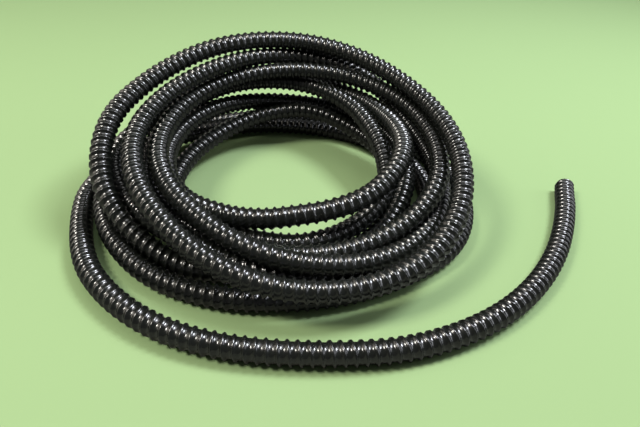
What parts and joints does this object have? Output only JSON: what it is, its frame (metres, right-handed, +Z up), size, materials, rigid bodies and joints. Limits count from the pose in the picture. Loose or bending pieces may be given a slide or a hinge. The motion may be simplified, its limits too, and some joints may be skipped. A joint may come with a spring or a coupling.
{
  "type": "spiral hose coil",
  "caption": "Loose coil of ribbed flexible plastic hose lying on a flat surface, with one open end led out round the front.",
  "frame": {"origin": "middle of the lying hose's box, on the floor that it lies on", "axes": "+Z up from the floor, +X to the right along the led-out end's front stretch, +Y to the back, where the coil is highest"},
  "size_m": [0.6547, 0.5084, 0.1644],
  "materials": {
    "hose": "gloss"
  },
  "bodies": {
    "root": {"coil": "hose", "tail": "hose"}
  },
  "joints": []
}
